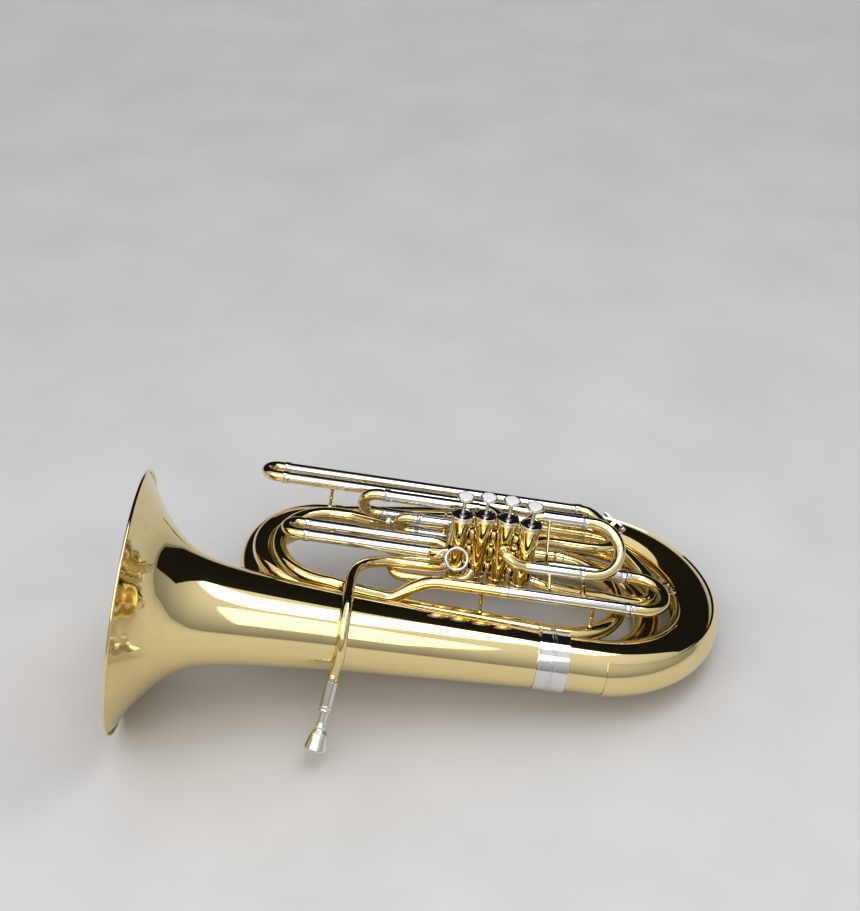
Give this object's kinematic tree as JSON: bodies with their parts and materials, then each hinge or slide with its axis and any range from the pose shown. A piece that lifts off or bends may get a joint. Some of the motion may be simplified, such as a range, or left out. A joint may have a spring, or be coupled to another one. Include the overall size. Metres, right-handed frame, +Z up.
{
  "type": "front-action piston tuba",
  "caption": "Piston-valve tuba lying on its back, with a wide flared bell, nested bows, sliding tuning crooks, spring-return valves, water keys and a removable mouthpiece.",
  "frame": {"origin": "on the floor, below the middle of the bounding box", "axes": "+X from the bell's mouth towards the bottom bow, +Z up with the horn lying on its back and the valve buttons on top, +Y across the horn from the bell towards the outer branch"},
  "size_m": [0.9558, 0.5982, 0.4062],
  "materials": {
    "lacquered_brass": "polished brass under clear gold lacquer",
    "nickel_silver": "polished nickel silver",
    "silver_plate": "bright silver plate",
    "spring_steel": "bare spring wire",
    "monel": "lapped metal",
    "pearl": "glossy white pearl inlay"
  },
  "bodies": {
    "horn": {"bell": "lacquered_brass", "bell_collar": "nickel_silver", "bell_rim_wire": "lacquered_brass", "bottom_bow": "lacquered_brass", "bottom_bow_guard": "lacquered_brass", "first_slide_tubes": "nickel_silver", "first_top_bow": "lacquered_brass", "first_valve_loop": "lacquered_brass", "fourth_loop": "lacquered_brass", "fourth_return": "lacquered_brass", "fourth_slide_tubes": "nickel_silver", "leadpipe": "lacquered_brass", "main_slide_tubes": "nickel_silver", "mouthpiece_receiver": "nickel_silver", "outer_branch": "lacquered_brass", "second_bottom_bow": "lacquered_brass", "second_slide_tubes": "nickel_silver", "second_top_bow": "lacquered_brass", "third_bottom_bow": "lacquered_brass", "third_lower_slide_tubes": "nickel_silver", "third_top_bow": "lacquered_brass", "third_upper_slide_tubes": "nickel_silver", "thumb_ring": "nickel_silver", "valve_1_bottom_cap": "nickel_silver", "valve_1_casing": "lacquered_brass", "valve_1_spring": "spring_steel", "valve_1_top_cap": "nickel_silver", "valve_2_bottom_cap": "nickel_silver", "valve_2_casing": "lacquered_brass", "valve_2_spring": "spring_steel", "valve_2_top_cap": "nickel_silver", "valve_3_bottom_cap": "nickel_silver", "valve_3_casing": "lacquered_brass", "valve_3_spring": "spring_steel", "valve_3_top_cap": "nickel_silver", "valve_4_bottom_cap": "nickel_silver", "valve_4_casing": "lacquered_brass", "valve_4_spring": "spring_steel", "valve_4_top_cap": "nickel_silver"},
    "valve_1": {"valve_1_piston": "monel", "valve_1_finger_button": "nickel_silver", "valve_1_pearl": "pearl"},
    "valve_2": {"valve_2_piston": "monel", "valve_2_finger_button": "nickel_silver", "valve_2_pearl": "pearl"},
    "valve_3": {"valve_3_piston": "monel", "valve_3_finger_button": "nickel_silver", "valve_3_pearl": "pearl"},
    "valve_4": {"valve_4_piston": "monel", "valve_4_finger_button": "nickel_silver", "valve_4_pearl": "pearl"},
    "main_slide": {"main_slide_crook": "lacquered_brass"},
    "first_slide": {"first_slide_crook": "lacquered_brass"},
    "second_slide": {"second_slide_crook": "lacquered_brass"},
    "third_upper_slide": {"third_upper_slide_crook": "lacquered_brass"},
    "third_lower_slide": {"third_lower_slide_crook": "lacquered_brass"},
    "fourth_slide": {"fourth_slide_crook": "lacquered_brass"},
    "water_key_1": {"water_key_1": "nickel_silver"},
    "water_key_2": {"water_key_2": "nickel_silver"},
    "mouthpiece": {"mouthpiece": "silver_plate"}
  },
  "joints": [
    {"name": "valve_1_travel", "type": "slide", "parent": "horn", "child": "valve_1", "axis": [-0.146, -0.0675, -0.987], "range_m": [0, 0.018], "stiffness_N_per_m": 250, "springref_m": -0.012, "deforming": ["valve_1_spring"]},
    {"name": "valve_2_travel", "type": "slide", "parent": "horn", "child": "valve_2", "axis": [-0.146, -0.0675, -0.987], "range_m": [0, 0.018], "stiffness_N_per_m": 250, "springref_m": -0.012, "deforming": ["valve_2_spring"]},
    {"name": "valve_3_travel", "type": "slide", "parent": "horn", "child": "valve_3", "axis": [-0.146, -0.0675, -0.987], "range_m": [0, 0.018], "stiffness_N_per_m": 250, "springref_m": -0.012, "deforming": ["valve_3_spring"]},
    {"name": "valve_4_travel", "type": "slide", "parent": "horn", "child": "valve_4", "axis": [-0.146, -0.0675, -0.987], "range_m": [0, 0.018], "stiffness_N_per_m": 250, "springref_m": -0.012, "deforming": ["valve_4_spring"]},
    {"name": "main_slide_travel", "type": "slide", "parent": "horn", "child": "main_slide", "axis": [0.9892, 0, -0.1463], "range_m": [0, 0.07]},
    {"name": "first_slide_travel", "type": "slide", "parent": "horn", "child": "first_slide", "axis": [-0.9892, 0, 0.1463], "range_m": [0, 0.065]},
    {"name": "second_slide_travel", "type": "slide", "parent": "horn", "child": "second_slide", "axis": [-0.9892, 0, 0.1463], "range_m": [0, 0.025]},
    {"name": "third_upper_slide_travel", "type": "slide", "parent": "horn", "child": "third_upper_slide", "axis": [-0.9892, 0, 0.1463], "range_m": [0, 0.055]},
    {"name": "third_lower_slide_travel", "type": "slide", "parent": "horn", "child": "third_lower_slide", "axis": [0.9892, 0, -0.1463], "range_m": [0, 0.04]},
    {"name": "fourth_slide_travel", "type": "slide", "parent": "horn", "child": "fourth_slide", "axis": [-0.9892, 0, 0.1463], "range_m": [0, 0.11]},
    {"name": "water_key_1_hinge", "type": "hinge", "parent": "third_lower_slide", "child": "water_key_1", "pos_m": [0.30074, 0.12186, 0.21421], "axis": [0.1281, -0.4839, 0.8657], "range_deg": [0, 18], "stiffness_Nm_per_rad": 0.05, "springref_deg": -11.46},
    {"name": "water_key_2_hinge", "type": "hinge", "parent": "main_slide", "child": "water_key_2", "pos_m": [0.38902, 0.07095, 0.12509], "axis": [0.146, 0.0675, 0.987], "range_deg": [0, 18], "stiffness_Nm_per_rad": 0.05, "springref_deg": -11.46},
    {"name": "mouthpiece_draw", "type": "slide", "parent": "horn", "child": "mouthpiece", "axis": [-0.2239, -0.5079, -0.8318], "range_m": [0, 0.024]}
  ]
}
